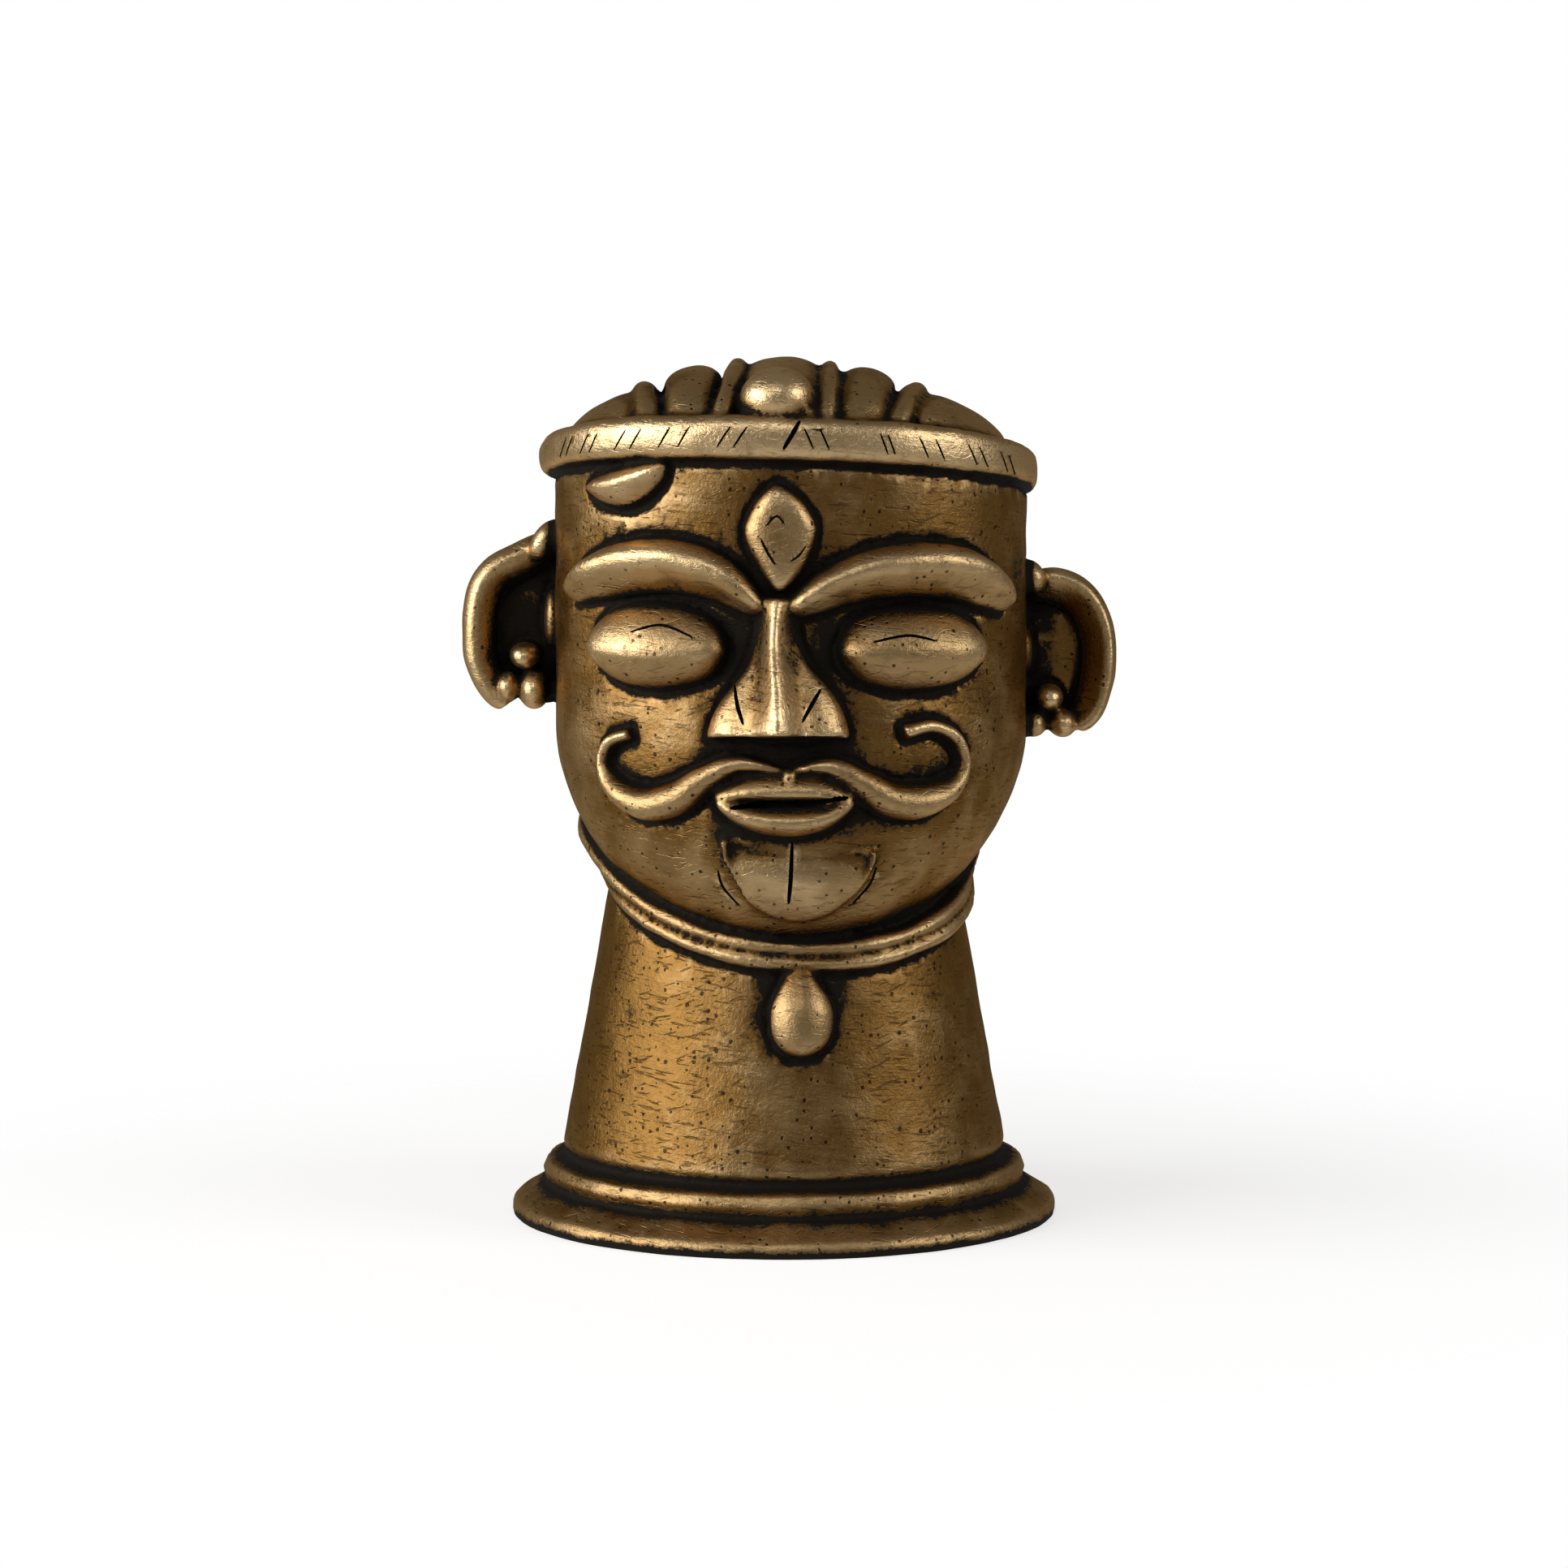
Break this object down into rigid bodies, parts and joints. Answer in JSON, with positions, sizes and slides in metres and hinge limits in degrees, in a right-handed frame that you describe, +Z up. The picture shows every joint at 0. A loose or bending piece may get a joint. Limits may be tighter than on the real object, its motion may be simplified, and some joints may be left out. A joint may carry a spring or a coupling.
{
  "type": "mukhalinga",
  "caption": "Hollow brass cover in the shape of a moustached god's head with a third eye, turban, flared ears, collar and pendant, on a flaring neck with a flange.",
  "frame": {"origin": "middle of the footprint, from ear to ear and from nose to flange, on the plane that the flange stands on", "axes": "+Z up along the neck, -Y out of the face, +X to the right of someone who faces it"},
  "size_m": [0.0923, 0.0809, 0.1205],
  "materials": {
    "worn_brass": "hand-worn satin with black patina in the recesses"
  },
  "bodies": {
    "root": {"mukhalinga": "worn_brass"}
  },
  "joints": []
}
